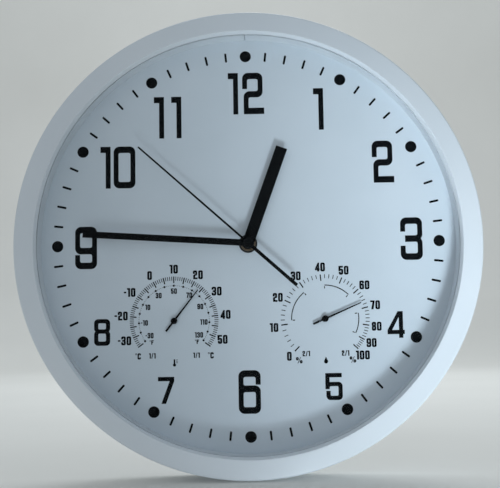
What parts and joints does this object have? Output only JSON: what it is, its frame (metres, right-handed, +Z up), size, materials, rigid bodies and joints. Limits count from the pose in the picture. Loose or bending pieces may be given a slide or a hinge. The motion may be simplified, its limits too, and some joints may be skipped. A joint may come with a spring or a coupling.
{
  "type": "wall clock with thermometer and hygrometer",
  "caption": "Round white wall clock with flat lens, black hands, and thermometer and hygrometer pointers on the dial; battery quartz movement behind.",
  "frame": {"origin": "centre of the keyhole in the hanger bracket, on the wall plane", "axes": "+X right and +Z up as the dial is read; the dial faces -Y and +Y points into the wall"},
  "size_m": [0.3, 0.042, 0.3],
  "materials": {
    "white_case_plastic": "satin moulded white",
    "lens_glass": "flat clear glass",
    "dial_sheet": "matt white printed sheet",
    "zinc_steel": "zinc plated",
    "black_plastic": "moulded black",
    "gear_plastic": "natural acetal",
    "brass": "turned",
    "black_rubber": "matt",
    "soft_iron": "annealed sheet",
    "copper_winding": "enamelled wire",
    "board_laminate": "green laminate",
    "battery_jacket": "printed jacket",
    "magnet": "sintered",
    "bimetal": "rolled strip",
    "black_hand": "painted black"
  },
  "bodies": {
    "case": {"case_wall": "white_case_plastic", "bezel": "white_case_plastic", "lens": "lens_glass", "spacer_strip": "white_case_plastic", "dial": "dial_sheet", "back_plate": "white_case_plastic", "case_screws": "zinc_steel", "hanger_bracket": "zinc_steel", "hanger_screws": "zinc_steel", "movement_housing": "black_plastic", "movement_rear_cover": "black_plastic", "middle_plate": "black_plastic", "centre_bush": "brass", "bush_gasket": "black_rubber", "bush_washer": "black_plastic", "bush_nut": "brass", "stator": "soft_iron", "coil_core": "soft_iron", "coil_bobbin": "gear_plastic", "coil_winding": "copper_winding", "circuit_board": "board_laminate", "quartz_crystal": "zinc_steel", "control_chip": "black_plastic", "contact_plus": "zinc_steel", "contact_minus": "zinc_steel", "battery": "battery_jacket", "thermometer_cup": "white_case_plastic", "thermometer_coil": "bimetal", "hygrometer_cup": "white_case_plastic", "hygrometer_coil": "bimetal"},
    "seconds": {"seconds_wheel": "gear_plastic", "second_hand": "black_hand", "second_hand_cap": "black_hand"},
    "minutes": {"centre_wheel": "gear_plastic", "minute_hand": "black_hand"},
    "hours": {"hour_wheel": "gear_plastic", "hour_hand": "black_hand"},
    "rotor": {"rotor_pinion": "gear_plastic", "rotor_magnet": "magnet"},
    "fifth": {"fifth_wheel": "gear_plastic"},
    "third": {"third_wheel": "gear_plastic"},
    "minute_motion": {"minute_wheel": "gear_plastic"},
    "knob": {"set_knob": "black_plastic"},
    "thermometer": {"thermometer_arbor": "brass", "thermometer_pointer": "black_hand"},
    "hygrometer": {"hygrometer_arbor": "brass", "hygrometer_pointer": "black_hand"}
  },
  "joints": [
    {"name": "second_hand_turn", "type": "hinge", "parent": "case", "child": "seconds", "pos_m": [0, -0.03, -0.1], "axis": [0, 1, 0], "continuous": true},
    {"name": "minute_hand_turn", "type": "hinge", "parent": "case", "child": "minutes", "pos_m": [0, -0.03, -0.1], "axis": [0, 1, 0], "continuous": true},
    {"name": "hour_hand_turn", "type": "hinge", "parent": "case", "child": "hours", "pos_m": [0, -0.03, -0.1], "axis": [0, 1, 0], "continuous": true},
    {"name": "rotor_turn", "type": "hinge", "parent": "case", "child": "rotor", "pos_m": [0.01239, -0.012, -0.09776], "axis": [0, 1, 0], "continuous": true},
    {"name": "fifth_wheel_turn", "type": "hinge", "parent": "case", "child": "fifth", "pos_m": [0.00744, -0.01, -0.10271], "axis": [0, 1, 0], "continuous": true},
    {"name": "third_wheel_turn", "type": "hinge", "parent": "case", "child": "third", "pos_m": [-0.00188, -0.013, -0.08936], "axis": [0, 1, 0], "continuous": true},
    {"name": "minute_wheel_turn", "type": "hinge", "parent": "case", "child": "minute_motion", "pos_m": [-0.0072, -0.018, -0.1], "axis": [0, 1, 0], "continuous": true},
    {"name": "set_knob_turn", "type": "hinge", "parent": "case", "child": "knob", "pos_m": [-0.01344, -0.003, -0.0964], "axis": [0, 1, 0], "continuous": true},
    {"name": "thermometer_turn", "type": "hinge", "parent": "case", "child": "thermometer", "pos_m": [-0.0484, -0.026, -0.1492], "axis": [0, 1, 0], "range_deg": [-164.2, 87.8], "stiffness_Nm_per_rad": 0.0003, "deforming": ["thermometer_coil"]},
    {"name": "hygrometer_turn", "type": "hinge", "parent": "case", "child": "hygrometer", "pos_m": [0.0489, -0.026, -0.1492], "axis": [0, 1, 0], "range_deg": [-202.7, 66.6], "stiffness_Nm_per_rad": 0.0003, "deforming": ["hygrometer_coil"]}
  ],
  "couplings": [
    {"joint": "rotor_turn", "follows": "second_hand_turn", "ratio": 30},
    {"joint": "fifth_wheel_turn", "follows": "second_hand_turn", "ratio": -5},
    {"joint": "third_wheel_turn", "follows": "second_hand_turn", "ratio": -0.13333},
    {"joint": "minute_hand_turn", "follows": "second_hand_turn", "ratio": 0.016667},
    {"joint": "minute_wheel_turn", "follows": "second_hand_turn", "ratio": -0.0055556},
    {"joint": "hour_hand_turn", "follows": "second_hand_turn", "ratio": 0.0013889},
    {"joint": "set_knob_turn", "follows": "second_hand_turn", "ratio": 0.016667}
  ]
}
